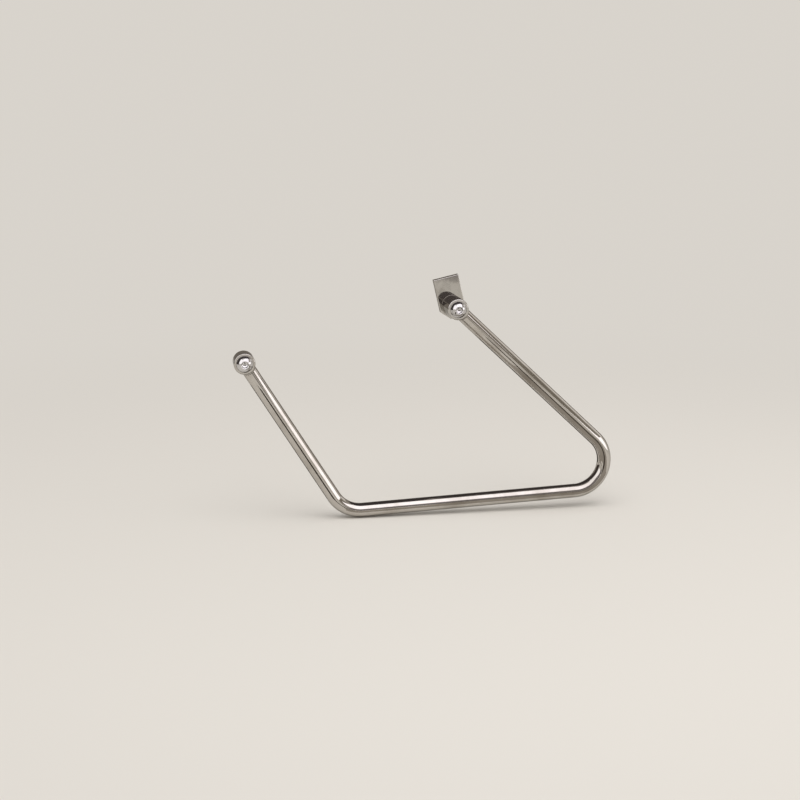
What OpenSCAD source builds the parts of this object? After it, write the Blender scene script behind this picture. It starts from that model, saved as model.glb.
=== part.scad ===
// Pannier frame for the left side of a motorcycle: a chrome plated tube bent into an open loop.
// Each end of the tube is coped onto a turned eye, and a button-head screw holds each eye.
// X runs towards the back of the motorcycle, Y inwards to the motorcycle and Z up.
// The origin is on the axis of the front eye, at its inner face. All sizes are in millimetres.

/* [Mounting points] */
// Distance from the front eye to the rear eye, along the motorcycle
eye_reach = 180; // [150:1:220]
// Height of the rear eye above the front eye
eye_rise = 41; // [20:1:60]

/* [Loop] */
// Where the centre lines of the front leg and the bottom run cross, behind the front eye
front_corner_x = 82.5; // [60:0.5:110]
// Drop from the front eye to that corner
front_corner_drop = 132; // [110:1:160]
// Where the centre lines of the bottom run and the rear leg cross, behind the front eye
rear_corner_x = 351; // [310:1:400]
// Drop from the front eye to that corner
rear_corner_drop = 120; // [90:1:150]
// Radius of both bends, to the centre line
bend_r = 27; // [20:1:36]

/* [Tube] */
// Outer diameter of the tube
tube_d = 12; // [10:0.5:15]
// Wall of the tube
tube_wall = 1.5; // [1:0.25:2.5]
// Diameter of the vent that lets plating liquid out of the tube
vent_d = 3; // [2:0.5:4]
// Distance of each vent from its eye's axis
vent_at = 24; // [18:1:40]

/* [Eyes] */
// Diameter of the bar that both eyes are turned from
bar_d = 18; // [16:0.5:24]
// How far an eye stands past the tube on each side
eye_margin = 2; // [1.5:0.25:4]
// Broken edge on the eyes
edge_break = 0.6; // [0.2:0.1:0.8]
// How far the rear eye runs on inwards, to the tab, past the length of the front eye
rear_run_on = 10; // [4:0.5:20]

/* [Weld beads] */
// Radius of one drop of the bead
bead_r = 1.9; // [1.6:0.1:2.2]
// How deep the middle of a drop lies below the surfaces it joins
bead_sink = 0.5; // [0.3:0.1:0.8]
// Drops in one bead
bead_drops = 32; // [24:1:48]

/* [Screws] */
// Thread diameter of the screws
screw_d = 8; // [6:1:8]
// Diameter of the plain shank between the head and the rolled thread
shank_d = 7.2; // [6:0.1:7.8]
// Play of a screw in its holes, on the diameter
screw_play = 0.4; // [0.2:0.1:1]
// Diameter of the button head
head_d = 14; // [12:0.5:15]
// Height of the button head
head_h = 4.4; // [3.5:0.1:5]
// Height of the straight rim under the dome
head_rim = 0.5; // [0.3:0.1:1]
// Diameter of the flat on top of the dome
head_flat = 6.4; // [6:0.2:8]
// Width of the hexagon socket across its flats
socket_af = 5; // [4:0.5:5]
// Depth of the hexagon socket
socket_depth = 2.7; // [2:0.1:3]
// Length of the front screw that stands out behind its eye
front_grip = 19; // [12:1:30]
// Length of the rear screw that stands out behind its nut
rear_spare = 3.4; // [1.5:0.1:6]
// Bevel at the tip of a screw
tip_bevel = 1; // [0.5:0.1:1.2]

/* [Hanger tab] */
// Width of the tab
tab_w = 22; // [20:0.5:30]
// Thickness of the tab
tab_t = 6; // [3:0.5:8]
// Height of the tab above the screw
tab_up = 25; // [16:1:40]
// Length of the tab below the screw
tab_down = 11; // [9.5:0.5:16]
// Size of the two clipped corners
tab_clip = 7.5; // [3:0.5:9]
// Broken edge round both faces of the tab
tab_break = 0.5; // [0.2:0.1:1]
// Lean of the tab's top towards the front
tab_lean = 13; // [0:1:25]

/* [Washer and nut] */
// Diameter of the washer
washer_d = 16; // [15:0.5:18]
// Thickness of the washer
washer_t = 1.6; // [1:0.1:2.5]
// Width of the nut across its flats
nut_af = 13; // [12:0.5:14]
// Height of the nut's hexagon
nut_hex_h = 6; // [5:0.5:8]
// Height of the nut's round collar above the hexagon
nut_collar_h = 2; // [1.6:0.1:3]
// Wall of the collar
collar_wall = 0.8; // [0.6:0.1:1]
// Wall of the nylon ring in the collar
ring_wall = 1; // [0.6:0.1:1.2]
// Lip of the collar that is rolled over the ring
collar_lip = 0.4; // [0.3:0.1:0.6]

/* [Hidden] */
$fn = 64;
chrome = [0.80, 0.80, 0.82];
steel = [0.66, 0.67, 0.69];
nylon = [0.20, 0.33, 0.60];

// Places in the plane of the loop, as [x, z]
front_eye_at = [0, 0];
rear_eye_at = [eye_reach, eye_rise];
front_corner = [front_corner_x, -front_corner_drop];
rear_corner = [rear_corner_x, -rear_corner_drop];

// Directions in which the tube runs, from the front eye round to the rear eye
front_way = heading(front_eye_at, front_corner);
bottom_way = heading(front_corner, rear_corner);
rear_way = heading(rear_corner, rear_eye_at);
front_turn = bottom_way - front_way;
rear_turn = rear_way - bottom_way;

// Straight lengths between the eyes' axes and the bends
front_len = norm(front_corner - front_eye_at) - setback(front_turn);
bottom_len = norm(rear_corner - front_corner) - setback(front_turn) - setback(rear_turn);
rear_len = norm(rear_eye_at - rear_corner) - setback(rear_turn);

eye_len = tube_d + 2 * eye_margin;
hole_d = screw_d + screw_play;
nut_h = nut_hex_h + nut_collar_h;
front_screw_len = eye_len + front_grip;
rear_screw_len = eye_len + rear_run_on + tab_t + washer_t + nut_h + rear_spare;

// Faces of the rear stack, from the rear eye's inner face inwards
tab_y = rear_run_on;
washer_y = tab_y + tab_t;
nut_y = washer_y + washer_t;

// Sphere through the top of the rim and the edge of the flat, for the dome of a screw's head
dome_rise = head_h - head_rim;
dome_low = (pow(head_d / 2, 2) - pow(head_flat / 2, 2) - pow(dome_rise, 2)) / (2 * dome_rise);
dome_r = norm([head_d / 2, dome_low]);
point_slope = tan(30);

// Bead drops sit where these two smaller cylinders cross
bead_tube_r = tube_d / 2 - bead_sink;
bead_bar_r = bar_d / 2 - bead_sink;
drop_sides = 32;

// A bend is a hair fuller than the straights, so that each of them ends inside it
bend_swell = 0.02;
bend_bite = 0.3;

ring_d = screw_d + 2 * ring_wall;
collar_d = ring_d + 2 * collar_wall;
cut = 1;

tab_outline = [
    [-tab_w / 2, tab_up],
    [-tab_w / 2, tab_clip - tab_down],
    [tab_clip - tab_w / 2, -tab_down],
    [tab_w / 2 - tab_clip, -tab_down],
    [tab_w / 2, tab_clip - tab_down],
    [tab_w / 2, tab_up]
];

function heading(from, to) = atan2(to.y - from.y, to.x - from.x);
function step(way, far) = far * [cos(way), sin(way)];

// Length of straight tube that a bend takes from each side of its corner
function setback(turn) = bend_r * tan(turn / 2);

// Middle of one bead drop: the eye's axis is Z and the tube leaves along X
function drop_at(turn) = [
    sqrt(pow(bead_bar_r, 2) - pow(bead_tube_r * cos(turn), 2)),
    bead_tube_r * cos(turn),
    bead_tube_r * sin(turn)
];

// Stands a thing drawn flat in XY up in the XZ plane, at depth y, with its Z pointing outwards
module stand_at(y) {
    translate([0, y, 0]) rotate([90, 0, 0]) children();
}

// Straight length of bar along X that runs back by lead and on by tail, with the rest of the bar after it
module feed(length, d, lead, tail) {
    translate([-lead, 0, 0]) rotate([-90, 0, -90]) cylinder(h = lead + length + tail, d = d);
    translate([length, 0, 0]) children();
}

// Bend to the left that starts along X and is cut off square at both ends, with the rest of the bar after it
module turn_left(angle, d) {
    reach = 2 * (bend_r + d);
    translate([0, bend_r, 0]) {
        intersection() {
            rotate(90) rotate_extrude() translate([bend_r, 0]) circle(d = d + bend_swell);
            translate([0, -reach / 2, -reach / 2]) cube(reach);
            rotate(angle) translate([-reach, -reach / 2, -reach / 2]) cube(reach);
        }
        rotate(angle) translate([0, -bend_r, 0]) children();
    }
}

// The whole bar as the bender is fed: from the front eye straight, turn, straight, turn, straight
module bent_bar(d) {
    rotate(front_way)
        feed(front_len, d, 0, bend_bite)
        turn_left(front_turn, d)
        feed(bottom_len, d, bend_bite, bend_bite)
        turn_left(rear_turn, d)
        feed(rear_len, d, bend_bite, 0);
}

// Round bar across the loop's plane at an eye, which the tube's end is coped to
module eye_bar(at) {
    translate([at.x, at.y, -eye_len / 2]) cylinder(h = eye_len, d = bar_d);
}

// Vent through the inner wall of a leg, which leaves the eye along way
module vent(at, way) {
    place = at + step(way, vent_at);
    translate([place.x, place.y, -tube_d]) cylinder(h = tube_d, d = vent_d);
}

module frame_tube() {
    color(chrome) stand_at(-eye_len / 2) difference() {
        bent_bar(tube_d);
        bent_bar(tube_d - 2 * tube_wall);
        eye_bar(front_eye_at);
        eye_bar(rear_eye_at);
        vent(front_eye_at, front_way);
        vent(rear_eye_at, rear_way + 180);
    }
}

// Turned sleeve with broken edges, standing on z = 0
module sleeve(outer_d, inner_d, length, edge) {
    rotate_extrude() polygon([
        [inner_d / 2, 0],
        [outer_d / 2 - edge, 0],
        [outer_d / 2, edge],
        [outer_d / 2, length - edge],
        [outer_d / 2 - edge, length],
        [inner_d / 2, length]
    ]);
}

// Eye whose outer face is level with the other's, and which runs on inwards past y = 0
module eye(at, run_on) {
    color(chrome) stand_at(run_on) translate([at.x, at.y, 0])
        sleeve(bar_d, hole_d, eye_len + run_on, edge_break);
}

module front_eye() { eye(front_eye_at, 0); }

module rear_eye() { eye(rear_eye_at, rear_run_on); }

// Bead laid in drops round the saddle where a leg leaves its eye along way
module weld(at, way) {
    color(chrome) stand_at(-eye_len / 2) translate([at.x, at.y, 0]) rotate(way) difference() {
        for (drop = [0:bead_drops - 1])
            translate(drop_at(360 * drop / bead_drops)) sphere(r = bead_r, $fn = drop_sides);
        rotate([0, 90, 0]) cylinder(h = bar_d, d = tube_d);
        translate([0, 0, -eye_len / 2]) cylinder(h = eye_len, d = bar_d);
    }
}

module front_weld() { weld(front_eye_at, front_way); }

module rear_weld() { weld(rear_eye_at, rear_way + 180); }

// Dome cut from a sphere and trimmed to the height and the diameter of the head
module button_head() {
    intersection() {
        translate([0, 0, head_rim - dome_low]) sphere(r = dome_r);
        cylinder(h = head_h, d = head_d);
    }
}

// Hexagon socket with a countersunk mouth and a drilled point
module socket() {
    hex_d = socket_af / cos(30);
    bevel_h = (head_flat - socket_af) / 2 * point_slope;
    translate([0, 0, head_h - socket_depth]) cylinder(h = socket_depth + cut, d = hex_d, $fn = 6);
    translate([0, 0, head_h - bevel_h]) cylinder(h = bevel_h, d1 = socket_af, d2 = head_flat);
    translate([0, 0, head_h - socket_depth - socket_af / 2 * point_slope])
        cylinder(h = socket_af / 2 * point_slope, d1 = 0, d2 = socket_af);
}

// Button-head screw: underside of its head at z = 0, a plain shank through the eye, then the thread
module button_screw(length) {
    difference() {
        button_head();
        socket();
    }
    translate([0, 0, -eye_len]) cylinder(h = eye_len, d = shank_d);
    translate([0, 0, tip_bevel - length]) cylinder(h = length - tip_bevel - eye_len, d = screw_d);
    translate([0, 0, -length]) cylinder(h = tip_bevel, d1 = screw_d - 2 * tip_bevel, d2 = screw_d);
}

module screw(at, length) {
    color(chrome) stand_at(-eye_len) translate([at.x, at.y, 0]) button_screw(length);
}

module front_screw() { screw(front_eye_at, front_screw_len); }

module rear_screw() { screw(rear_eye_at, rear_screw_len); }

// Flat plate with clipped lower corners, an edge broken all round both faces, and one hole
module hanger_tab() {
    color(chrome) stand_at(tab_y + tab_t) translate([rear_eye_at.x, rear_eye_at.y, 0]) rotate(tab_lean)
        difference() {
            hull() {
                linear_extrude(tab_t) offset(delta = -tab_break) polygon(tab_outline);
                translate([0, 0, tab_break]) linear_extrude(tab_t - 2 * tab_break) polygon(tab_outline);
            }
            translate([0, 0, -cut]) cylinder(h = tab_t + 2 * cut, d = hole_d);
        }
}

// Puts a thing on the rear screw behind depth y, with its Z pointing inwards
module behind_tab(y) {
    translate([rear_eye_at.x, y, rear_eye_at.y]) rotate([-90, 0, 0]) children();
}

module rear_washer() {
    color(steel) behind_tab(washer_y) difference() {
        cylinder(h = washer_t, d = washer_d);
        translate([0, 0, -cut]) cylinder(h = washer_t + 2 * cut, d = hole_d);
    }
}

// Self-locking nut: a hexagon with turned corners, and a collar rolled over a nylon ring
module rear_nut() {
    corner_d = nut_af / cos(30);
    corner_drop = (corner_d - nut_af) / 2 * point_slope;
    color(steel) behind_tab(nut_y) difference() {
        union() {
            intersection() {
                cylinder(h = nut_hex_h, d = corner_d, $fn = 6);
                union() {
                    cylinder(h = corner_drop, d1 = nut_af, d2 = corner_d);
                    translate([0, 0, corner_drop]) cylinder(h = nut_hex_h - 2 * corner_drop, d = corner_d);
                    translate([0, 0, nut_hex_h - corner_drop])
                        cylinder(h = corner_drop, d1 = corner_d, d2 = nut_af);
                }
            }
            cylinder(h = nut_h, d = collar_d);
        }
        translate([0, 0, -cut]) cylinder(h = nut_hex_h + 2 * cut, d = screw_d);
        translate([0, 0, nut_hex_h]) cylinder(h = nut_collar_h - collar_lip, d = ring_d);
        translate([0, 0, nut_hex_h]) cylinder(h = nut_collar_h + cut, d = ring_d - 2 * collar_lip);
    }
}

module nut_ring() {
    color(nylon) behind_tab(nut_y + nut_hex_h) difference() {
        cylinder(h = nut_collar_h - collar_lip, d = ring_d);
        translate([0, 0, -cut]) cylinder(h = nut_collar_h + 2 * cut, d = screw_d);
    }
}

frame_tube();
front_eye();
rear_eye();
front_weld();
rear_weld();
hanger_tab();
front_screw();
rear_screw();
rear_washer();
rear_nut();
nut_ring();
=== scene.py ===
import math

import bmesh
import bpy
import numpy as np
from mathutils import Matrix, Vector


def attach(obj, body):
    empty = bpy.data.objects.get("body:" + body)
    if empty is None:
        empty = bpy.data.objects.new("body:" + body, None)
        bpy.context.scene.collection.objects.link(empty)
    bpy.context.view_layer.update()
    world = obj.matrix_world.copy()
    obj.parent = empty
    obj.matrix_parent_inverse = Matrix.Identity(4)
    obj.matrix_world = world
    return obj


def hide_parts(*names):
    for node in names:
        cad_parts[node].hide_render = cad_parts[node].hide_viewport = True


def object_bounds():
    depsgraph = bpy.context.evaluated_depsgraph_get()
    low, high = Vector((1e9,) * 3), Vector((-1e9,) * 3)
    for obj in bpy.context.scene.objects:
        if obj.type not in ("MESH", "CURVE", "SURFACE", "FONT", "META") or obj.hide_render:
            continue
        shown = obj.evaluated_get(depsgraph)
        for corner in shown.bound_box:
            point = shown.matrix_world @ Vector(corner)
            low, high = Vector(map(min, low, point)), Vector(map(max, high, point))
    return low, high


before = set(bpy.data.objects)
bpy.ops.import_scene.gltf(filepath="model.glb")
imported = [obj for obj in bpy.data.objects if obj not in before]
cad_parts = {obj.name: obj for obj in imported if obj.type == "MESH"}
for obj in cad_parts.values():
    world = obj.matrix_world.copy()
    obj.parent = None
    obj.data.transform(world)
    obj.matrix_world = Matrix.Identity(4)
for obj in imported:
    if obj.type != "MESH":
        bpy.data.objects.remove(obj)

cad_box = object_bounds()


# The view. The camera stands on the frame's outer side, a little ahead of it and above its eyes, and looks
# back and slightly down at it through a long lens, as in the photograph.
VIEW_FROM = (-0.0808, -1.2390, 0.2194)
VIEW_PITCH = 78.433
VIEW_YAW = -9.783
VIEW_LENS = 67.5
VIEW_SENSOR = 36.0
VIEW_NEAR = 0.01

lens = bpy.data.cameras.new("view")
lens.lens = VIEW_LENS
lens.sensor_width = VIEW_SENSOR
lens.clip_start = VIEW_NEAR
camera = bpy.data.objects.new("view", lens)
camera.location = VIEW_FROM
camera.rotation_euler = (math.radians(VIEW_PITCH), 0.0, math.radians(VIEW_YAW))
bpy.context.scene.collection.objects.link(camera)
bpy.context.scene.camera = camera


# The bent tube. One length of 12 mm steel tube with a 1.5 mm wall, bent twice to a 27 mm radius and coped at
# both ends to saddle on the eyes. Each leg has a vent on its inner side that lets the plating liquid out.
# It is ground and buffed lengthwise and then chrome plated.
MM = 0.001
FRONT_EYE = Vector((0.0, 0.0))
REAR_EYE = Vector((180.0, 41.0))
FRONT_CORNER = Vector((82.5, -132.0))
REAR_CORNER = Vector((351.0, -120.0))
BEND_R = 27.0
TUBE_R = 6.0
TUBE_WALL = 1.5
TUBE_DEPTH = -8.0
EYE_R = 9.0
VENT_R = 1.5
VENT_AT = 24.0
VENT_SIDES = 48
TUBE_SIDES = 96
BEND_STEP = math.radians(2.5)
STRAIGHT_STEP = 8.0
COPE_CLEAR = 12.0
SHARP = math.radians(28)
CHROME = (0.58, 0.555, 0.52, 1.0)
CHROME_FILM = (0.46, 0.43, 0.39, 1.0)
CHROME_EDGE = (0.47, 0.46, 0.445, 1.0)
COLOUR_A = 6
COLOUR_B = 7
COLOUR_OUT = 2


def skin(name, loops, closed):
    """One skin over loops of points in millimetres. A loop of one point closes an end. Its map runs from 0
    to 1 round a loop, and in millimetres from loop to loop."""
    points, starts = [], []
    for loop in loops:
        starts.append(len(points))
        points += loop
    sides = max(len(loop) for loop in loops)
    travel = [0.0]
    for near, far in zip(loops, loops[1:] + loops[:1]):
        travel.append(travel[-1] + (Vector(far[0]) - Vector(near[0])).length)
    faces, places = [], []
    count = len(loops)
    for i in range(count if closed else count - 1):
        k = (i + 1) % count
        for j in range(sides):
            face = []
            for loop, side, v in ((i, j, travel[i]), (i, j + 1, travel[i]),
                                  (k, j + 1, travel[i + 1]), (k, j, travel[i + 1])):
                single = len(loops[loop]) == 1
                index = starts[loop] + (0 if single else side % sides)
                if all(index != corner[0] for corner in face):
                    face.append((index, side / sides, v))
            faces.append([corner[0] for corner in face])
            places += [corner[1:] for corner in face]
    mesh = bpy.data.meshes.new(name)
    mesh.from_pydata([Vector(p) * MM for p in points], [], faces)
    layer = mesh.uv_layers.new(name="surface_map")
    layer.uv.foreach_set("vector", np.array(places, np.float32).ravel())
    shell = bmesh.new()
    shell.from_mesh(mesh)
    bmesh.ops.recalc_face_normals(shell, faces=shell.faces)
    shell.to_mesh(mesh)
    shell.free()
    mesh.shade_smooth()
    mesh.set_sharp_from_angle(angle=SHARP)
    piece = bpy.data.objects.new(name, mesh)
    bpy.context.scene.collection.objects.link(piece)
    return piece


def flat_faces_first(piece):
    """Lets the broad faces set the shading, so that only the eased edges between them look round."""
    shading = piece.modifiers.new("broad_faces", "WEIGHTED_NORMAL")
    shading.keep_sharp = True
    return piece


def settle(piece, material, slot, *nodes):
    """Gives a piece its material, in place of the solids that it stands for. Its slot is not used."""
    piece.data.materials.clear()
    piece.data.materials.append(material)
    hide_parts(*nodes)
    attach(piece, "root")


def blank(name):
    """A new material and its empty node tree."""
    material = bpy.data.materials.new(name)
    material.use_nodes = True
    material.node_tree.nodes.clear()
    return material, material.node_tree


def put(tree, kind, sockets, **options):
    """Adds one node with its options, and sets or links its sockets."""
    made = tree.nodes.new(kind)
    for option, value in options.items():
        setattr(made, option, value)
    for socket, value in sockets.items():
        if isinstance(value, bpy.types.NodeSocket):
            tree.links.new(value, made.inputs[socket])
        else:
            made.inputs[socket].default_value = value
    return made


def reckon(tree, operation, *values):
    """What one sum of sockets and numbers comes to."""
    return put(tree, "ShaderNodeMath", dict(enumerate(values)), operation=operation).outputs[0]


def noise(tree, place, scale, detail, roughness):
    sockets = {"Vector": place, "Scale": scale, "Detail": detail, "Roughness": roughness}
    return put(tree, "ShaderNodeTexNoise", sockets).outputs[0]


def effect(name, inputs, outputs):
    """A shader node group, from each input's kind of socket and its value, and each output's kind."""
    group = bpy.data.node_groups.new(name, "ShaderNodeTree")
    for socket, (kind, value) in inputs.items():
        made = group.interface.new_socket(socket, in_out="INPUT", socket_type=kind)
        made.default_value = value
    for socket, kind in outputs.items():
        group.interface.new_socket(socket, in_out="OUTPUT", socket_type=kind)
    return group, group.nodes.new("NodeGroupInput").outputs, group.nodes.new("NodeGroupOutput")


def buffed_lines():
    """Fine lines that buffing leaves under the plating. Across is how fine they are round the piece, and
    Along how short they are along it."""
    group, given, result = effect(
        "buffed_lines",
        {"Across": ("NodeSocketFloat", 300.0), "Along": ("NodeSocketFloat", 0.05)},
        {"Height": "NodeSocketFloat", "Streak": "NodeSocketFloat"},
    )
    place = put(group, "ShaderNodeUVMap", {}, uv_map="surface_map").outputs["UV"]
    parts = put(group, "ShaderNodeSeparateXYZ", {"Vector": place}).outputs
    turn = reckon(group, "MULTIPLY", parts["X"], math.tau)
    wide = reckon(group, "MULTIPLY", reckon(group, "COSINE", turn), given["Across"])
    high = reckon(group, "MULTIPLY", reckon(group, "SINE", turn), given["Across"])
    long = reckon(group, "MULTIPLY", parts["Y"], given["Along"])
    spread = put(group, "ShaderNodeCombineXYZ", {"X": wide, "Y": high, "Z": long}).outputs[0]
    fine = noise(group, spread, 1.0, detail=3.0, roughness=0.6)
    group.links.new(fine, result.inputs["Height"])
    streak = put(group, "ShaderNodeMapRange", {"Value": fine, "From Min": 0.45, "From Max": 0.75})
    group.links.new(streak.outputs[0], result.inputs["Streak"])
    return group


def handled():
    """Thin film from hands and weather, and the soft waves of a surface that is polished by hand."""
    group, given, result = effect(
        "handled",
        {"Patch": ("NodeSocketFloat", 40.0), "Wave": ("NodeSocketFloat", 60.0),
         "Clean": ("NodeSocketColor", CHROME), "Film": ("NodeSocketColor", CHROME_FILM)},
        {"Color": "NodeSocketColor", "Haze": "NodeSocketFloat", "Wave": "NodeSocketFloat"},
    )
    place = put(group, "ShaderNodeTexCoord", {}).outputs["Object"]
    blot = noise(group, place, given["Patch"], detail=5.0, roughness=0.62)
    haze = put(group, "ShaderNodeMapRange", {"Value": blot, "From Min": 0.42, "From Max": 0.72},
               interpolation_type="SMOOTHSTEP").outputs[0]
    tone = put(group, "ShaderNodeMix", {"Factor": haze, COLOUR_A: given["Clean"], COLOUR_B: given["Film"]},
               data_type="RGBA").outputs[COLOUR_OUT]
    group.links.new(tone, result.inputs["Color"])
    group.links.new(haze, result.inputs["Haze"])
    wave = noise(group, place, given["Wave"], detail=1.0, roughness=0.4)
    group.links.new(wave, result.inputs["Wave"])
    return group


BUFFED_LINES = buffed_lines()
HANDLED = handled()


def plated(name, clean, film, smooth, dull, across, along, line_depth, wave_depth, patch=40.0, wave=60.0):
    """A metal with buffed lines, soft waves and a faint film, between two tones and two roughnesses. The
    depths are in metres."""
    material, tree = blank(name)
    lines = put(tree, "ShaderNodeGroup", {"Across": across, "Along": along}, node_tree=BUFFED_LINES).outputs
    touch = put(tree, "ShaderNodeGroup", {"Patch": patch, "Wave": wave, "Clean": clean, "Film": film},
                node_tree=HANDLED).outputs
    marks = reckon(tree, "MAXIMUM", touch["Haze"], lines["Streak"])
    rough = put(tree, "ShaderNodeMapRange", {"Value": marks, "To Min": smooth, "To Max": dull}).outputs[0]
    waves = put(tree, "ShaderNodeBump", {"Height": touch["Wave"], "Strength": 1.0, "Distance": wave_depth})
    scratches = put(tree, "ShaderNodeBump", {"Height": lines["Height"], "Strength": 1.0,
                                             "Distance": line_depth, "Normal": waves.outputs[0]})
    shader = put(tree, "ShaderNodeBsdfPrincipled", {"Base Color": touch["Color"], "Roughness": rough,
                                                    "Metallic": 1.0, "Normal": scratches.outputs[0],
                                                    "Specular Tint": CHROME_EDGE})
    put(tree, "ShaderNodeOutputMaterial", {"Surface": shader.outputs[0]})
    return material


def heading(near, far):
    return math.atan2(far.y - near.y, far.x - near.x)


def bent_line():
    """Stations along the tube's middle from cope to cope, each a point of the loop's plane and the way the
    tube runs there, and the ways of its three straight lengths."""
    ways = [heading(FRONT_EYE, FRONT_CORNER), heading(FRONT_CORNER, REAR_CORNER),
            heading(REAR_CORNER, REAR_EYE)]
    turns = [ways[1] - ways[0], ways[2] - ways[1]]
    setbacks = [BEND_R * math.tan(turn / 2) for turn in turns]
    stations = []

    def straight(start, way, near, far):
        steps = max(1, round((far - near) / STRAIGHT_STEP))
        for i in range(steps + 1):
            reach = near + (far - near) * i / steps
            stations.append((start + Vector((math.cos(way), math.sin(way))) * reach, way))

    def bend(corner, way, turn, setback):
        start = corner - Vector((math.cos(way), math.sin(way))) * setback
        centre = start + Vector((-math.sin(way), math.cos(way))) * BEND_R
        steps = round(turn / BEND_STEP)
        for i in range(1, steps):
            now = way + turn * i / steps
            stations.append((centre + Vector((math.sin(now), -math.cos(now))) * BEND_R, now))

    straight(FRONT_EYE, ways[0], COPE_CLEAR, (FRONT_CORNER - FRONT_EYE).length - setbacks[0])
    bend(FRONT_CORNER, ways[0], turns[0], setbacks[0])
    straight(FRONT_CORNER, ways[1], setbacks[0], (REAR_CORNER - FRONT_CORNER).length - setbacks[1])
    bend(REAR_CORNER, ways[1], turns[1], setbacks[1])
    straight(REAR_CORNER, ways[2], setbacks[1], (REAR_EYE - REAR_CORNER).length - COPE_CLEAR)
    return stations, ways


def tube_ring(point, way, radius, pull):
    """Ring of the tube about a point. From how far aside a point of it lies, pull gives how far it moves
    along the tube."""
    ring = []
    for i in range(TUBE_SIDES):
        angle = math.tau * i / TUBE_SIDES
        aside, deep = radius * math.cos(angle), radius * math.sin(angle)
        on = pull(aside)
        ring.append((point.x + math.cos(way) * on - math.sin(way) * aside, TUBE_DEPTH + deep,
                     point.y + math.sin(way) * on + math.cos(way) * aside))
    return ring


def saddle(sign):
    return lambda aside: sign * math.sqrt(EYE_R ** 2 - aside ** 2)


def bent_tube():
    stations, ways = bent_line()
    loops = []
    for radius, order in ((TUBE_R, 1), (TUBE_R - TUBE_WALL, -1)):
        wall = [tube_ring(FRONT_EYE, ways[0], radius, saddle(1))]
        wall += [tube_ring(point, way, radius, lambda aside: 0.0) for point, way in stations]
        wall.append(tube_ring(REAR_EYE, ways[2], radius, saddle(-1)))
        loops += wall[::order]
    tube = skin("bent_tube", loops, True)
    for eye, way in ((FRONT_EYE, ways[0]), (REAR_EYE, ways[2] + math.pi)):
        at = eye + Vector((math.cos(way), math.sin(way))) * VENT_AT
        bpy.ops.mesh.primitive_cylinder_add(vertices=VENT_SIDES, radius=VENT_R * MM, depth=TUBE_R * 2 * MM,
                                            location=(at.x * MM, (TUBE_DEPTH + TUBE_R) * MM, at.y * MM),
                                            rotation=(math.pi / 2, 0.0, 0.0))
        drill = bpy.context.object
        hole = tube.modifiers.new("vent", "BOOLEAN")
        hole.operation = "DIFFERENCE"
        hole.solver = "EXACT"
        hole.object = drill
        bpy.context.view_layer.objects.active = tube
        bpy.ops.object.modifier_apply(modifier=hole.name)
        bpy.data.objects.remove(drill)
    tube.data.shade_smooth()
    tube.data.set_sharp_from_angle(angle=SHARP)
    return tube


tube_chrome = plated("tube_chrome", CHROME, CHROME_FILM, smooth=0.04, dull=0.11, across=9.0, along=0.012,
                     line_depth=8e-7, wave_depth=1.5e-5)
settle(bent_tube(), tube_chrome, "tube_chrome", "frame_tube")


# The eyes. Two lengths of 18 mm bar, faced, bored 8.4 mm and their edges broken on a lathe, then welded to
# the tube and chrome plated with it. The rear one is longer and runs on inwards to its tab.
BORE_R = 4.2
EYE_LEN = 16.0
REAR_RUN_ON = 10.0
EDGE = 0.6
EDGE_ROUND = 0.3
ROUND_STEPS = 4
MOST_ROUNDED = 0.45
TURNED_SIDES = 120
TURNED = (0.59, 0.57, 0.54, 1.0)
TURNED_FILM = (0.47, 0.445, 0.41, 1.0)


def eased(profile, radius):
    """A closed profile with each of its corners rounded, over no more than a share of each edge."""
    points = []
    count = len(profile)
    for i in range(count):
        corner = Vector(profile[i])
        before, after = Vector(profile[i - 1]) - corner, Vector(profile[(i + 1) % count]) - corner
        cut = min(radius, before.length * MOST_ROUNDED, after.length * MOST_ROUNDED)
        start, end = corner + before.normalized() * cut, corner + after.normalized() * cut
        for step in range(ROUND_STEPS + 1):
            t = step / ROUND_STEPS
            points.append(tuple(start.lerp(corner, t).lerp(corner.lerp(end, t), t)))
    return points


def turned(name, at, profile, sides=TURNED_SIDES):
    """A piece turned about a line across the loop's plane at a point. A profile is of radii and depths."""
    loops = []
    for radius, depth in profile:
        loops.append([(at.x + radius * math.cos(math.tau * i / sides), depth,
                       at.y + radius * math.sin(math.tau * i / sides)) for i in range(sides)])
    return skin(name, loops, True)


def sleeve(outer, inner, front, back, edge):
    return [(inner, front), (outer - edge, front), (outer, front + edge),
            (outer, back - edge), (outer - edge, back), (inner, back)]


turned_chrome = plated("turned_chrome", TURNED, TURNED_FILM, smooth=0.04, dull=0.13, across=1.5, along=9.0,
                       line_depth=6e-7, wave_depth=1.2e-5)
for node, at, back in (("front_eye", FRONT_EYE, 0.0), ("rear_eye", REAR_EYE, REAR_RUN_ON)):
    eye = turned(node + "_sleeve", at, eased(sleeve(EYE_R, BORE_R, -EYE_LEN, back, EDGE), EDGE_ROUND))
    settle(flat_faces_first(eye), turned_chrome, "turned_chrome", node)


# The weld beads. Each runs round the tube where it saddles on its eye, laid in short overlapping drops that
# leave a fine ripple, and is plated over with the rest.
DROP_R = 1.9
DROP_SINK = 0.5
DROPS = 32
DROP_STEPS = 10
DROP_BOW = 0.22
DROP_DIP = 0.20
BEAD_STEPS = 14
BEAD_SWEEP = (-32.0, 122.0)
BEAD_FULL = 0.985
WELD = (0.56, 0.54, 0.51, 1.0)
WELD_FILM = (0.41, 0.38, 0.345, 1.0)


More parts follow.
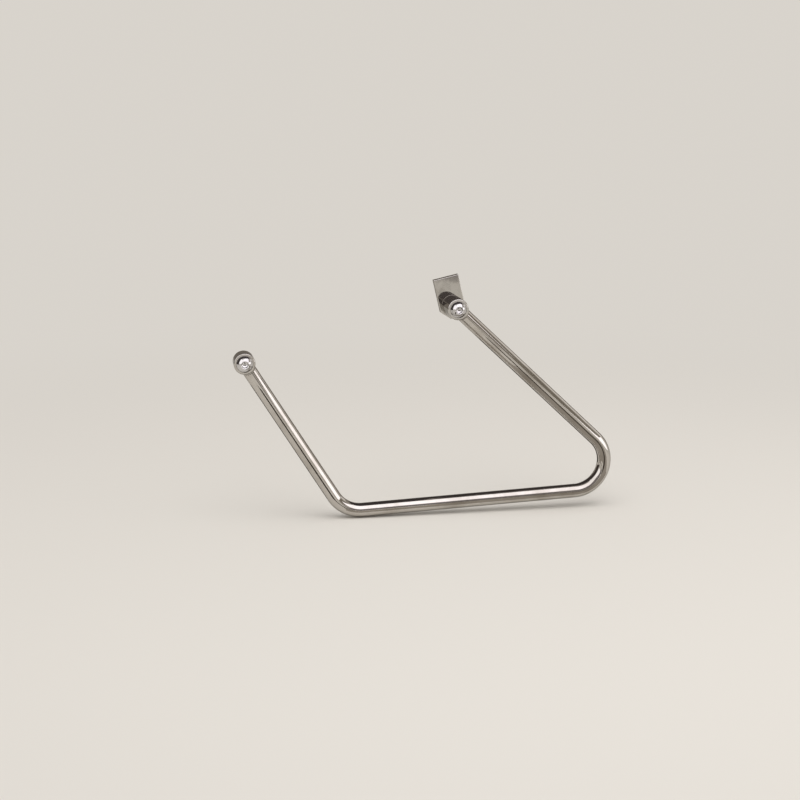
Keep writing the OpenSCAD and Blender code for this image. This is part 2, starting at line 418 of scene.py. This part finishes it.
def weld_bead(name, eye, way):
    """Loops across the bead, each from inside the tube's wall over the bead to inside the eye's."""
    tube_r, bar_r = TUBE_R - DROP_SINK, EYE_R - DROP_SINK
    along = Vector((math.cos(way), 0.0, math.sin(way)))
    aside = Vector((-math.sin(way), 0.0, math.cos(way)))
    deep = Vector((0.0, 1.0, 0.0))
    centre = Vector((eye.x, TUBE_DEPTH, eye.y))
    loops = []
    total = DROPS * DROP_STEPS
    for i in range(total):
        angle = math.tau * i / total
        lateral = tube_r * math.cos(angle)
        reach = math.sqrt(bar_r ** 2 - lateral ** 2)
        middle = centre + along * reach + aside * lateral + deep * tube_r * math.sin(angle)
        outward = aside * math.cos(angle) + deep * math.sin(angle)
        round_eye = (outward - along * lateral / reach * math.cos(angle)).normalized()
        loop = [tuple(middle)]
        for j in range(BEAD_STEPS + 1):
            sweep = math.radians(BEAD_SWEEP[0] + (BEAD_SWEEP[1] - BEAD_SWEEP[0]) * j / BEAD_STEPS)
            bow = DROP_BOW * math.cos(2 * (sweep - math.pi / 4))
            phase = (i / DROP_STEPS + bow) % 1.0 - 0.5
            swell = math.sqrt(1 - DROP_DIP * (2 * phase) ** 2)
            over = along * math.cos(sweep) + round_eye * math.sin(sweep)
            loop.append(tuple(middle + over * DROP_R * swell * BEAD_FULL))
        loops.append(loop)
    return skin(name, loops, True)


weld_chrome = plated("weld_chrome", WELD, WELD_FILM, smooth=0.07, dull=0.24, across=14.0, along=1.2,
                     line_depth=1e-5, wave_depth=6e-5, patch=140.0, wave=420.0)
for node, eye, corner in (("front_weld", FRONT_EYE, FRONT_CORNER), ("rear_weld", REAR_EYE, REAR_CORNER)):
    settle(weld_bead(node + "_bead", eye, heading(eye, corner)), weld_chrome, "weld_chrome", node)


# The hanger tab. A flat steel bar 22 mm wide and 6 mm thick, its lower corners clipped, its edges eased on a
# belt and one hole drilled through, then chrome plated. It hangs down, leaning forwards, and the rear eye is
# clamped to it.
TAB_FRONT = REAR_RUN_ON
TAB_BACK = 16.0
TAB_HALF = 11.0
TAB_UP = 25.0
TAB_DOWN = 11.0
TAB_CLIP = 7.5
TAB_EASE = 0.5
TAB_EASE_STEPS = 4
TAB_LEAN = math.radians(13)
TAB_SIDES = 144
TAB_CORNER_CLEAR = math.radians(0.8)
HOLE_BREAK = 0.15
FACING_LEAST = 1e-6
TAB_CHROME = (0.57, 0.55, 0.515, 1.0)
TAB_FILM = (0.47, 0.45, 0.415, 1.0)


def tab_reach(angle, inset):
    """How far the tab's outline, taken in by inset, lies from the hole's middle at an angle."""
    root = math.sqrt(0.5)
    clip_at = (TAB_HALF + TAB_DOWN - TAB_CLIP) * root
    reaches = []
    for nx, ny, far in ((1, 0, TAB_HALF), (-1, 0, TAB_HALF), (0, 1, TAB_UP), (0, -1, TAB_DOWN),
                        (root, -root, clip_at), (-root, -root, clip_at)):
        facing = nx * math.cos(angle) + ny * math.sin(angle)
        if facing > FACING_LEAST:
            reaches.append((far - inset) / facing)
    return min(reaches)


def tab_angles():
    """Even angles round the hole, and the ones that lead to the outline's corners."""
    corners = ((TAB_HALF, TAB_UP), (-TAB_HALF, TAB_UP), (-TAB_HALF, TAB_CLIP - TAB_DOWN),
               (TAB_CLIP - TAB_HALF, -TAB_DOWN), (TAB_HALF - TAB_CLIP, -TAB_DOWN),
               (TAB_HALF, TAB_CLIP - TAB_DOWN))
    sharp = [math.atan2(y, x) % math.tau for x, y in corners]
    even = [math.tau * i / TAB_SIDES for i in range(TAB_SIDES)]
    kept = [a for a in even if min(abs(a - s) for s in sharp) > TAB_CORNER_CLEAR]
    return sorted(kept + sharp)


def hanger_tab():
    """Rings from the hole's front edge out over the front face, round the outline and back to the hole."""
    profile = []
    for i in range(TAB_EASE_STEPS + 1):
        turn = math.pi / 2 * i / TAB_EASE_STEPS
        profile.append((TAB_EASE * (1 - math.sin(turn)), TAB_FRONT + TAB_EASE * (1 - math.cos(turn))))
    profile += [(inset, TAB_FRONT + TAB_BACK - depth) for inset, depth in reversed(profile)]
    angles = tab_angles()

    def ring(distance, depth):
        loop = []
        for angle in angles:
            far = distance(angle)
            x, y = far * math.cos(angle), far * math.sin(angle)
            loop.append((REAR_EYE.x + x * math.cos(TAB_LEAN) - y * math.sin(TAB_LEAN), depth,
                         REAR_EYE.y + x * math.sin(TAB_LEAN) + y * math.cos(TAB_LEAN)))
        return loop

    loops = [ring(lambda a: BORE_R, TAB_FRONT + HOLE_BREAK), ring(lambda a: BORE_R + HOLE_BREAK, TAB_FRONT)]
    for inset, depth in profile:
        loops.append(ring(lambda a, inset=inset: tab_reach(a, inset), depth))
    loops += [ring(lambda a: BORE_R + HOLE_BREAK, TAB_BACK), ring(lambda a: BORE_R, TAB_BACK - HOLE_BREAK)]
    return skin("hanger_tab_plate", loops, True)


plate_chrome = plated("plate_chrome", TAB_CHROME, TAB_FILM, smooth=0.03, dull=0.12, across=3.0, along=0.4,
                      line_depth=6e-7, wave_depth=1e-5, patch=60.0, wave=90.0)
settle(flat_faces_first(hanger_tab()), plate_chrome, "plate_chrome", "hanger_tab")


# The screws. Two M8 button heads in polished stainless steel, 35 and 45 mm long, with a 5 mm hexagon socket,
# a plain shank through the eye and a rolled thread behind it. The rear one has the nut on its end.
HEAD_R = 7.0
HEAD_H = 4.4
HEAD_RIM = 0.5
RIM_ROUND = ((0.0, 0.3), (0.03, 0.12), (0.15, 0.0))
DOME_STEPS = 26
DOME_CROWD = 1.35
DOME_DROP = 0.03
FLAT_R = 3.2
FLAT_ROUND = ((0.1, 0.05), (0.0, 0.01))
SOCKET_R = 2.5
SOCKET_DEPTH = 2.7
SOCKET_EASE = 0.06
SOCKET_LEAD = 0.05
POINT_GAP = 0.08
SLOPE = math.tan(math.radians(30))
SHANK_R = 3.6
SHANK_EASE = 0.2
THREAD_R = 4.0
ROOT_R = 3.3
PITCH = 1.25
CREST_FLAT = 1.15
RUN_IN_TURNS = 1.5
TIP_BEVEL = 1.0
SCREW_SIDES = 72
THREAD_STEP = PITCH / 12
FRONT_SCREW_LEN = 35.0
REAR_SCREW_LEN = 45.0
FRONT_SCREW_TURN = 0.2
REAR_SCREW_TURN = 0.45
STAINLESS = (0.64, 0.63, 0.63, 1.0)
STAINLESS_FILM = (0.50, 0.485, 0.475, 1.0)


def hexagon(angle, flat):
    """Distance from the middle of a hexagon to its side, at an angle."""
    return flat / math.cos((angle % (math.pi / 3)) - math.pi / 6)


def level(radius, height):
    """A ring with one radius and one height all the way round."""
    return lambda a: radius, lambda a: height


def ring_loops(at, base, way, rings, turn=0.0):
    """Loops about a point, from rings whose radius and height depend on the angle. way is the side of the
    base that heights are on."""
    loops = []
    for radius, height in rings:
        loop = []
        for i in range(SCREW_SIDES):
            angle = math.tau * i / SCREW_SIDES
            loop.append((at.x + radius(angle) * math.cos(angle + turn), base + way * height(angle),
                         at.y + radius(angle) * math.sin(angle + turn)))
        loops.append(loop)
    return loops


def thread_radius(height, angle, length):
    """Radius of the screw below its plain shank: rounded roots, flat crests, and a bevelled tip."""
    phase = (height / PITCH + angle / math.tau) % 1.0
    crest = min(1.0, max(0.0, 0.5 + CREST_FLAT * math.cos(math.tau * phase)))
    crest = crest * crest * (3 - 2 * crest)
    grown = min(1.0, (height - EYE_LEN) / (RUN_IN_TURNS * PITCH))
    cut = ROOT_R + (THREAD_R - ROOT_R) * crest
    return min(SHANK_R + (cut - SHANK_R) * grown, THREAD_R - TIP_BEVEL + length - height)


def button_screw(name, at, length, turn):
    """Rings from the socket's drilled point, up its walls, over the head, and down the shank to the tip."""
    dome_rise = HEAD_H - HEAD_RIM
    dome_low = (HEAD_R ** 2 - FLAT_R ** 2 - dome_rise ** 2) / (2 * dome_rise)
    dome_r = math.hypot(HEAD_R, dome_low)
    floor = HEAD_H - SOCKET_DEPTH

    def wall(a):
        return hexagon(a, SOCKET_R)

    rings = [
        level(SOCKET_R - POINT_GAP, floor),
        (lambda a: wall(a) - SOCKET_EASE, lambda a: floor),
        (wall, lambda a: floor + SOCKET_EASE),
        (wall, lambda a: HEAD_H - SOCKET_LEAD - (FLAT_R - wall(a)) * SLOPE),
        (lambda a: wall(a) + SOCKET_EASE, lambda a: HEAD_H - (FLAT_R - SOCKET_EASE - wall(a)) * SLOPE),
    ]
    rings += [level(FLAT_R - inward, HEAD_H - down) for inward, down in FLAT_ROUND]
    for i in range(1, DOME_STEPS + 1):
        height = HEAD_H - DOME_DROP - (dome_rise - DOME_DROP) * (i / DOME_STEPS) ** DOME_CROWD
        rings.append(level(math.sqrt(dome_r ** 2 - (height - HEAD_RIM + dome_low) ** 2), height))
    rings += [level(HEAD_R - inward, up) for inward, up in RIM_ROUND]
    rings += [level(SHANK_R + SHANK_EASE, 0.0), level(SHANK_R, -SHANK_EASE), level(SHANK_R, -EYE_LEN)]
    steps = round((length - EYE_LEN) / THREAD_STEP)
    for i in range(1, steps + 1):
        low = EYE_LEN + (length - EYE_LEN) * i / steps
        rings.append((lambda a, low=low: thread_radius(low, a, length), lambda a, low=low: -low))
    point = [(at.x, -EYE_LEN - floor + SOCKET_R * SLOPE, at.y)]
    tip = [(at.x, length - EYE_LEN, at.y)]
    return skin(name, [point] + ring_loops(at, -EYE_LEN, -1, rings, turn) + [tip], False)


screw_steel = plated("screw_steel", STAINLESS, STAINLESS_FILM, smooth=0.05, dull=0.18, across=2.0, along=5.0,
                     line_depth=1.5e-6, wave_depth=1e-5, patch=90.0, wave=120.0)
for end, at, length, turn in (("front", FRONT_EYE, FRONT_SCREW_LEN, FRONT_SCREW_TURN),
                              ("rear", REAR_EYE, REAR_SCREW_LEN, REAR_SCREW_TURN)):
    screw = button_screw(end + "_button_screw", at, length, turn)
    settle(screw, screw_steel, "screw_steel", end + "_screw")


# The washer. A plain M8 washer, stamped from 1.6 mm steel strip, its rims tumbled smooth, and zinc plated.
# It lies between the tab and the nut.
WASHER_R = 8.0
WASHER_FRONT = TAB_BACK
WASHER_BACK = 17.6
WASHER_EASE = 0.22
ZINC = (0.60, 0.60, 0.595, 1.0)
ZINC_FILM = (0.46, 0.455, 0.44, 1.0)


def band(inner, outer, front, back):
    return [(inner, front), (outer, front), (outer, back), (inner, back)]


washer_steel = plated("washer_steel", ZINC, ZINC_FILM, smooth=0.24, dull=0.42, across=1.2, along=3.0,
                      line_depth=1e-5, wave_depth=3e-5, patch=160.0, wave=300.0)
washer = turned("rear_plain_washer", REAR_EYE,
                eased(band(BORE_R, WASHER_R, WASHER_FRONT, WASHER_BACK), WASHER_EASE))
settle(flat_faces_first(washer), washer_steel, "washer_steel", "rear_washer")


# The nut. A self-locking M8 nut, cold formed and zinc plated: a hexagon with turned corners, and a round
# collar that is rolled over the nylon ring.
NUT_BACK = WASHER_BACK
NUT_FLAT = 6.5
NUT_BEARING = 6.4
NUT_HEX_H = 6.0
NUT_H = 8.0
NUT_LEAD = 0.4
CORNER_IN = 0.08
CORNER_OUT = 0.04
CORNER_ALONG = 0.06
COLLAR_R = 5.8
COLLAR_ROOT = 0.25
COLLAR_ROLL = ((0.0, 0.6), (0.12, 0.25), (0.4, 0.05), (0.7, 0.0))
RING_R = 5.0
LIP_R = 4.6
LIP_H = 0.4
LIP_ROUND = ((0.1, 0.02), (0.0, 0.12))
NUT_ZINC = (0.58, 0.58, 0.585, 1.0)
NUT_FILM = (0.44, 0.44, 0.43, 1.0)


def lock_nut():
    """Rings from the bore over the bearing face, the hexagon and the collar to the ring's seat."""

    def corner(a):
        return hexagon(a, NUT_FLAT)

    def drop(a):
        return (corner(a) - NUT_BEARING) * SLOPE

    rings = [
        level(THREAD_R, NUT_LEAD), level(THREAD_R + NUT_LEAD, 0.0), level(NUT_BEARING, 0.0),
        (lambda a: corner(a) - CORNER_IN, lambda a: drop(a) - CORNER_OUT),
        (corner, lambda a: drop(a) + CORNER_ALONG),
        (corner, lambda a: NUT_HEX_H - drop(a) - CORNER_ALONG),
        (lambda a: corner(a) - CORNER_IN, lambda a: NUT_HEX_H - drop(a) + CORNER_OUT),
        level(NUT_BEARING, NUT_HEX_H),
    ]
    collar = [(COLLAR_R + COLLAR_ROOT, NUT_HEX_H), (COLLAR_R, NUT_HEX_H + COLLAR_ROOT)]
    collar += [(COLLAR_R - inward, NUT_H - down) for inward, down in COLLAR_ROLL]
    collar += [(LIP_R + outward, NUT_H - down) for outward, down in LIP_ROUND]
    collar += [(LIP_R, NUT_H - LIP_H), (RING_R, NUT_H - LIP_H), (RING_R, NUT_HEX_H), (THREAD_R, NUT_HEX_H)]
    rings += [level(radius, height) for radius, height in collar]
    return skin("rear_lock_nut", ring_loops(REAR_EYE, NUT_BACK, 1, rings), True)


nut_steel = plated("nut_steel", NUT_ZINC, NUT_FILM, smooth=0.2, dull=0.4, across=4.0, along=1.5,
                   line_depth=8e-6, wave_depth=3e-5, patch=150.0, wave=260.0)
settle(flat_faces_first(lock_nut()), nut_steel, "nut_steel", "rear_nut")


# The nylon ring. Moulded in blue nylon and crimped into the nut's collar. The screw's thread presses into it,
# which keeps the nut from working loose.
RING_EASE = 0.12
NYLON = (0.10, 0.20, 0.46, 1.0)
NYLON_WORN = (0.20, 0.30, 0.52, 1.0)
NYLON_SOFTNESS = 0.1
NYLON_SPREAD = (0.0004, 0.0006, 0.001)


def nylon():
    """Moulded nylon, scuffed pale in patches."""
    material, tree = blank("nylon")
    place = put(tree, "ShaderNodeTexCoord", {}).outputs["Object"]
    scuff = noise(tree, place, 700.0, detail=4.0, roughness=0.6)
    tone = put(tree, "ShaderNodeMix", {"Factor": scuff, COLOUR_A: NYLON, COLOUR_B: NYLON_WORN},
               data_type="RGBA").outputs[COLOUR_OUT]
    rough = put(tree, "ShaderNodeMapRange", {"Value": scuff, "To Min": 0.34, "To Max": 0.58}).outputs[0]
    grain = put(tree, "ShaderNodeBump", {"Height": scuff, "Strength": 0.6, "Distance": 2e-5}).outputs[0]
    shader = put(tree, "ShaderNodeBsdfPrincipled", {"Base Color": tone, "Roughness": rough, "Normal": grain,
                                                    "Subsurface Weight": NYLON_SOFTNESS,
                                                    "Subsurface Radius": NYLON_SPREAD})
    put(tree, "ShaderNodeOutputMaterial", {"Surface": shader.outputs[0]})
    return material


ring = turned("nut_nylon_ring", REAR_EYE,
              eased(band(THREAD_R, RING_R, NUT_BACK + NUT_HEX_H, NUT_BACK + NUT_H - LIP_H), RING_EASE),
              SCREW_SIDES)
settle(flat_faces_first(ring), nylon(), "nylon", "nut_ring")


# The set: a plain pale floor that runs out into a pale surround, a soft lamp above and right of the camera,
# and even light from above. As in a studio for chrome, flat cards that only the metal sees stand round the
# frame. They glow in their own tones and paint its reflections: bright ones paint highlights to its right
# and left, grey or dark ones paint darker bands elsewhere, and grey and dark sheets on the floor, which only
# the metal sees too, paint dark lines and darker bands along the tube.
PALE = (0.69, 0.655, 0.605, 1.0)
MIDDLE = Vector((0.16, -0.008, -0.05))
SQUARE = ((-1, -1), (1, -1), (1, 1), (-1, 1))
FLOOR_AT = cad_box[0].z - 0.0005
FLOOR_HALF = 30.0
NEAR_FLOOR = 0.35
FAR_FLOOR = 1.1
SOFT_LAMP = Vector((0.49, -0.82, 0.96))
LAMP_WIDE = 1.5
LAMP_HIGH = 1.35
LAMP_POWER = 6.5
CLOTH_GAP = 0.001
EVEN_LIGHT = 1.3
EVEN_SPREAD = math.radians(60)
EVEN_TILT = (math.radians(20), math.radians(-12), 0.0)
SURROUND_LIGHT = (0.52, 0.515, 0.51, 1.0)
FAR_CARDS = 12.0
BACKING_CARDS = 12.5
NEAR_CARDS = 4.0
TOP_NEAR = -0.24
TOP_HIGH = 1.42
TOP_SLOPE = 0.8 / 1.84
# Glow of the bright cards at the left and front, painted highlights in the metal.
SOFT_WHITE = (1.55, 1.50, 1.52)
# Tone of the dark floor sheets, painted dark lines in the metal's reflections.
LINE_DARK = (0.05, 0.042, 0.034)


def sheet(name, material, corners):
    """A flat sheet of the set, spread between its corners."""
    mesh = bpy.data.meshes.new(name)
    mesh.from_pydata(corners, [], [range(len(corners))])
    mesh.materials.append(material)
    spread = bpy.data.objects.new(name, mesh)
    bpy.context.scene.collection.objects.link(spread)
    return spread


# A card's flat glow in one tone, which shows only as painted reflection in the metal.
def even_tone(name, colour):
    material, tree = blank(name)
    glow = put(tree, "ShaderNodeEmission", {"Color": (*colour, 1.0), "Strength": 1.0})
    put(tree, "ShaderNodeOutputMaterial", {"Surface": glow.outputs[0]})
    return material


def pale_floor():
    """Lit paper near the frame, which keeps its shadow, and further out the same tone as the surround."""
    material, tree = blank("pale_floor")
    place = put(tree, "ShaderNodeNewGeometry", {}).outputs["Position"]
    out = put(tree, "ShaderNodeVectorMath", {0: place, 1: MIDDLE}, operation="DISTANCE").outputs["Value"]
    fade = put(tree, "ShaderNodeMapRange", {"Value": out, "From Min": NEAR_FLOOR, "From Max": FAR_FLOOR},
               interpolation_type="SMOOTHSTEP").outputs[0]
    near = put(tree, "ShaderNodeBsdfDiffuse", {"Color": PALE}).outputs[0]
    distant = put(tree, "ShaderNodeEmission", {"Color": PALE, "Strength": 1.0}).outputs[0]
    both = put(tree, "ShaderNodeMixShader", {0: fade, 1: near, 2: distant}).outputs[0]
    put(tree, "ShaderNodeOutputMaterial", {"Surface": both})
    return material


def around(distance, *aims):
    """Points at a distance from the frame's middle. An aim is degrees to the right of ahead, and up."""
    points = []
    for right, up in aims:
        r, u = math.radians(right), math.radians(up)
        aim = Vector((math.sin(r) * math.cos(u), -math.cos(r) * math.cos(u), math.sin(u)))
        points.append(MIDDLE + aim * distance)
    return points


def upright(x_from, x_to, y, low, high):
    """A card that stands across the view, between two heights over the floor."""
    return [(x, y, FLOOR_AT + rise)
            for x, rise in ((x_from, low), (x_to, low), (x_to, high), (x_from, high))]


def overhead(*places):
    """A card on the slope that runs over the frame and comes down behind it."""
    return [(x, y, TOP_HIGH - (y - TOP_NEAR) * TOP_SLOPE) for x, y in places]


def flag(*places, lift=0.0005):
    """A grey or dark sheet on the floor that only the metal sees, as a painted dark reflection. Its lift
    keeps it clear of the sheets that it crosses.
    """
    return [(x, y, FLOOR_AT + lift) for x, y in places]


def lamp_face():
    """The cloth front of the soft lamp as a glowing card, which metal sees in place of the lamp itself: a
    painted reflection of the lamp.
    """
    turn = (MIDDLE - SOFT_LAMP).to_track_quat("-Z", "Y")
    return [SOFT_LAMP + turn @ Vector((i * LAMP_WIDE / 2, j * LAMP_HIGH / 2, -CLOTH_GAP)) for i, j in SQUARE]


sheet("floor", pale_floor(), [(x * FLOOR_HALF, y * FLOOR_HALF, FLOOR_AT) for x, y in SQUARE])
for name, tone, corners in (
    ("bright_right_card", (1.95, 1.87, 1.90), around(
        FAR_CARDS, (34, -0.4), (81, -0.4), (81, 22.0), (71, 20.4), (60, 17.7), (52, 15.0), (36, 6.7))),
    ("bright_left_card", SOFT_WHITE, around(NEAR_CARDS, (-74, 6), (-29, 6), (-29, 55), (-74, 55))),
    ("bright_front_card", SOFT_WHITE, around(NEAR_CARDS, (-29, 24), (-4, 24), (-4, 55), (-29, 55))),
    ("bright_side_card", (1.10, 1.04, 1.00), around(
        FAR_CARDS, (100, 19.5), (126, 17.5), (126, 34.0), (100, 34.0))),
    ("grey_right_card", (0.26, 0.23, 0.19), around(
        BACKING_CARDS, (28, 6.0), (36, 6.2), (52, 14.0), (60, 17.0), (81, 21.0), (81, 42.0), (28, 42.0))),
    ("low_front_card", (0.19, 0.165, 0.165), upright(-0.75, 0.78, -1.70, low=0.0, high=0.32)),
    ("high_front_card", (0.26, 0.23, 0.235), upright(-0.75, 0.78, -1.70, low=0.365, high=0.75)),
    ("lamp_face", (1.85, 1.77, 1.84), lamp_face()),
    ("dark_top_card", (0.062, 0.053, 0.054), overhead(
        (-3.0, TOP_NEAR), (1.1, TOP_NEAR), (1.1, 1.6), (-3.0, 1.6))),
    ("grey_top_card", (0.36, 0.33, 0.30), overhead(
        (1.1, TOP_NEAR), (1.7, TOP_NEAR), (1.7, 1.2), (3.4, 1.2), (3.4, 1.6), (1.1, 1.6))),
    ("grey_back_card", (0.38, 0.34, 0.30), upright(-3.0, 3.4, 1.60, low=0.0, high=0.76)),
    ("dark_left_card", (0.06, 0.05, 0.045), [
        (-1.3, -0.32, FLOOR_AT), (-1.3, 1.5, FLOOR_AT), (-1.3, 1.5, 1.2), (-1.3, -0.32, 1.2)]),
    ("lower_tube_flag", (0.39, 0.352, 0.307), flag(
        (0.085, -0.05), (0.105, -0.10), (0.17, -0.10), (0.25, -0.34), (0.46, -0.34), (0.37, -0.022),
        (0.083, -0.022), lift=0.0003)),
    ("front_bend_flag", LINE_DARK, flag(
        (0.074, -0.077), (0.080, -0.067), (0.086, -0.066), (0.092, -0.070), (0.099, -0.082),
        (0.105, -0.099), (0.108, -0.098), (0.105, -0.086), (0.099, -0.064), (0.094, -0.054),
        (0.089, -0.049), (0.084, -0.048), (0.074, -0.051), (0.062, -0.046), lift=0.0007)),
    ("front_leg_flag", LINE_DARK, flag(
        (0.013, -0.478), (-0.071, -0.271), (0.062, -0.046), (0.074, -0.077))),
    ("front_leg_back_flag", LINE_DARK, flag(
        (-0.109, 0.119), (-0.077, 0.238), (0.061, 0.028), (0.056, 0.010))),
    ("rear_leg_back_flag", LINE_DARK, flag(
        (0.126, 0.122), (0.194, 0.325), (0.315, 0.066), (0.300, 0.021))),
    ("rear_leg_flag", (0.06, 0.05, 0.04), flag(
        (0.274, -0.541), (0.187, -0.339), (0.313, -0.081), (0.333, -0.126))),
):
    # Each card shows only in the metal, where its glow is a painted highlight or a painted dark band.
    card = sheet(name, even_tone(name, tone), corners)
    card.visible_camera = False
    card.visible_diffuse = False
    card.visible_shadow = False
    card.visible_transmission = False

softbox = bpy.data.lights.new("softbox", "AREA")
softbox.shape = "RECTANGLE"
softbox.size = LAMP_WIDE
softbox.size_y = LAMP_HIGH
softbox.energy = LAMP_POWER
lamp = bpy.data.objects.new("softbox", softbox)
lamp.location = SOFT_LAMP
lamp.rotation_euler = (MIDDLE - SOFT_LAMP).to_track_quat("-Z", "Y").to_euler()
lamp.visible_glossy = False
bpy.context.scene.collection.objects.link(lamp)

ceiling = bpy.data.lights.new("even_light", "SUN")
ceiling.energy = EVEN_LIGHT
ceiling.angle = EVEN_SPREAD
even = bpy.data.objects.new("even_light", ceiling)
even.rotation_euler = EVEN_TILT
even.visible_glossy = False
bpy.context.scene.collection.objects.link(even)

world = bpy.data.worlds.new("surround")
bpy.context.scene.world = world
world.use_nodes = True
sky = world.node_tree
sky.nodes.clear()
rays = put(sky, "ShaderNodeLightPath", {}).outputs
seen = reckon(sky, "MAXIMUM", rays["Is Camera Ray"], rays["Is Glossy Ray"])
seen = reckon(sky, "MAXIMUM", seen, rays["Is Transmission Ray"])
shown = put(sky, "ShaderNodeBackground", {"Color": PALE, "Strength": 1.0}).outputs[0]
lit = put(sky, "ShaderNodeBackground", {"Color": SURROUND_LIGHT, "Strength": 1.0}).outputs[0]
both = put(sky, "ShaderNodeMixShader", {0: seen, 1: lit, 2: shown}).outputs[0]
put(sky, "ShaderNodeOutputWorld", {"Surface": both})

bpy.context.scene.view_settings.view_transform = "Standard"
